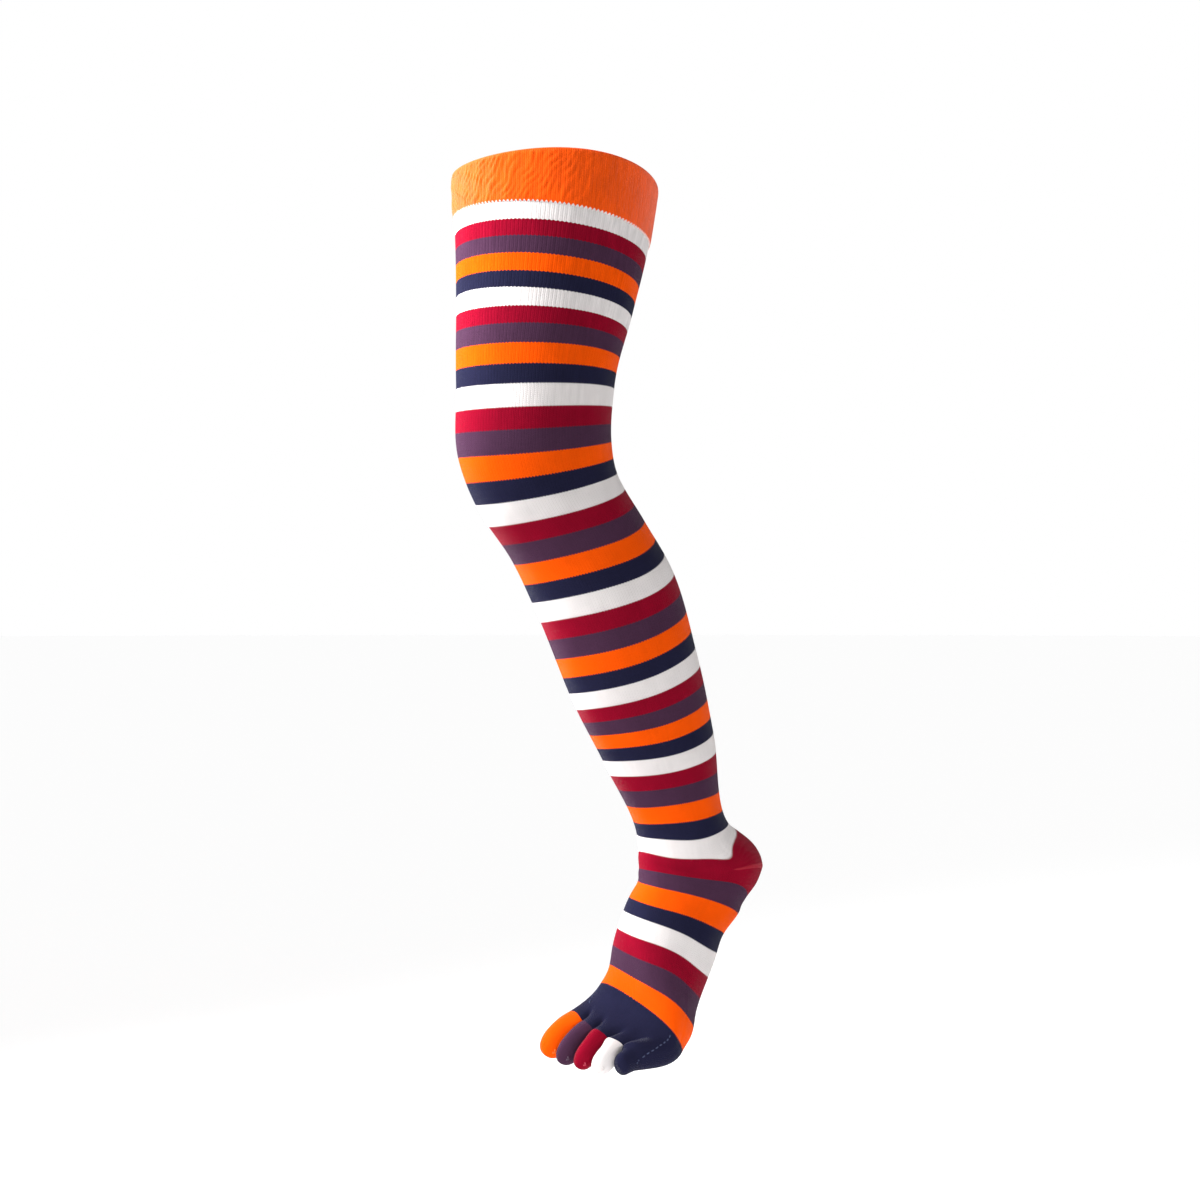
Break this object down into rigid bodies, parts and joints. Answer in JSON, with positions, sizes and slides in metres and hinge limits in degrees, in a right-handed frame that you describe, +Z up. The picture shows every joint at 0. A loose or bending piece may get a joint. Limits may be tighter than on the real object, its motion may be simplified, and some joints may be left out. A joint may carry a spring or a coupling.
{
  "type": "toe sock",
  "caption": "Over-the-knee toe sock in its worn form: elastic welt, striped leg, short-row heel, toe box and a separate finger for each toe.",
  "frame": {"origin": "middle of the leg opening at the top of the cuff", "axes": "+Z up out of the leg opening, toes toward -Y, outer side of the leg toward +X"},
  "size_m": [0.1648, 0.2829, 0.7463],
  "materials": {
    "orange_knit": "matte",
    "striped_knit": "matte",
    "crimson_knit": "matte",
    "navy_knit": "matte",
    "purple_knit": "matte",
    "white_knit": "matte"
  },
  "bodies": {
    "root": {"cuff": "orange_knit", "leg": "striped_knit", "heel": "crimson_knit", "foot": "striped_knit", "toe_box": "navy_knit", "big_toe": "orange_knit", "second_toe": "purple_knit", "third_toe": "crimson_knit", "fourth_toe": "white_knit", "little_toe": "navy_knit"}
  },
  "joints": []
}
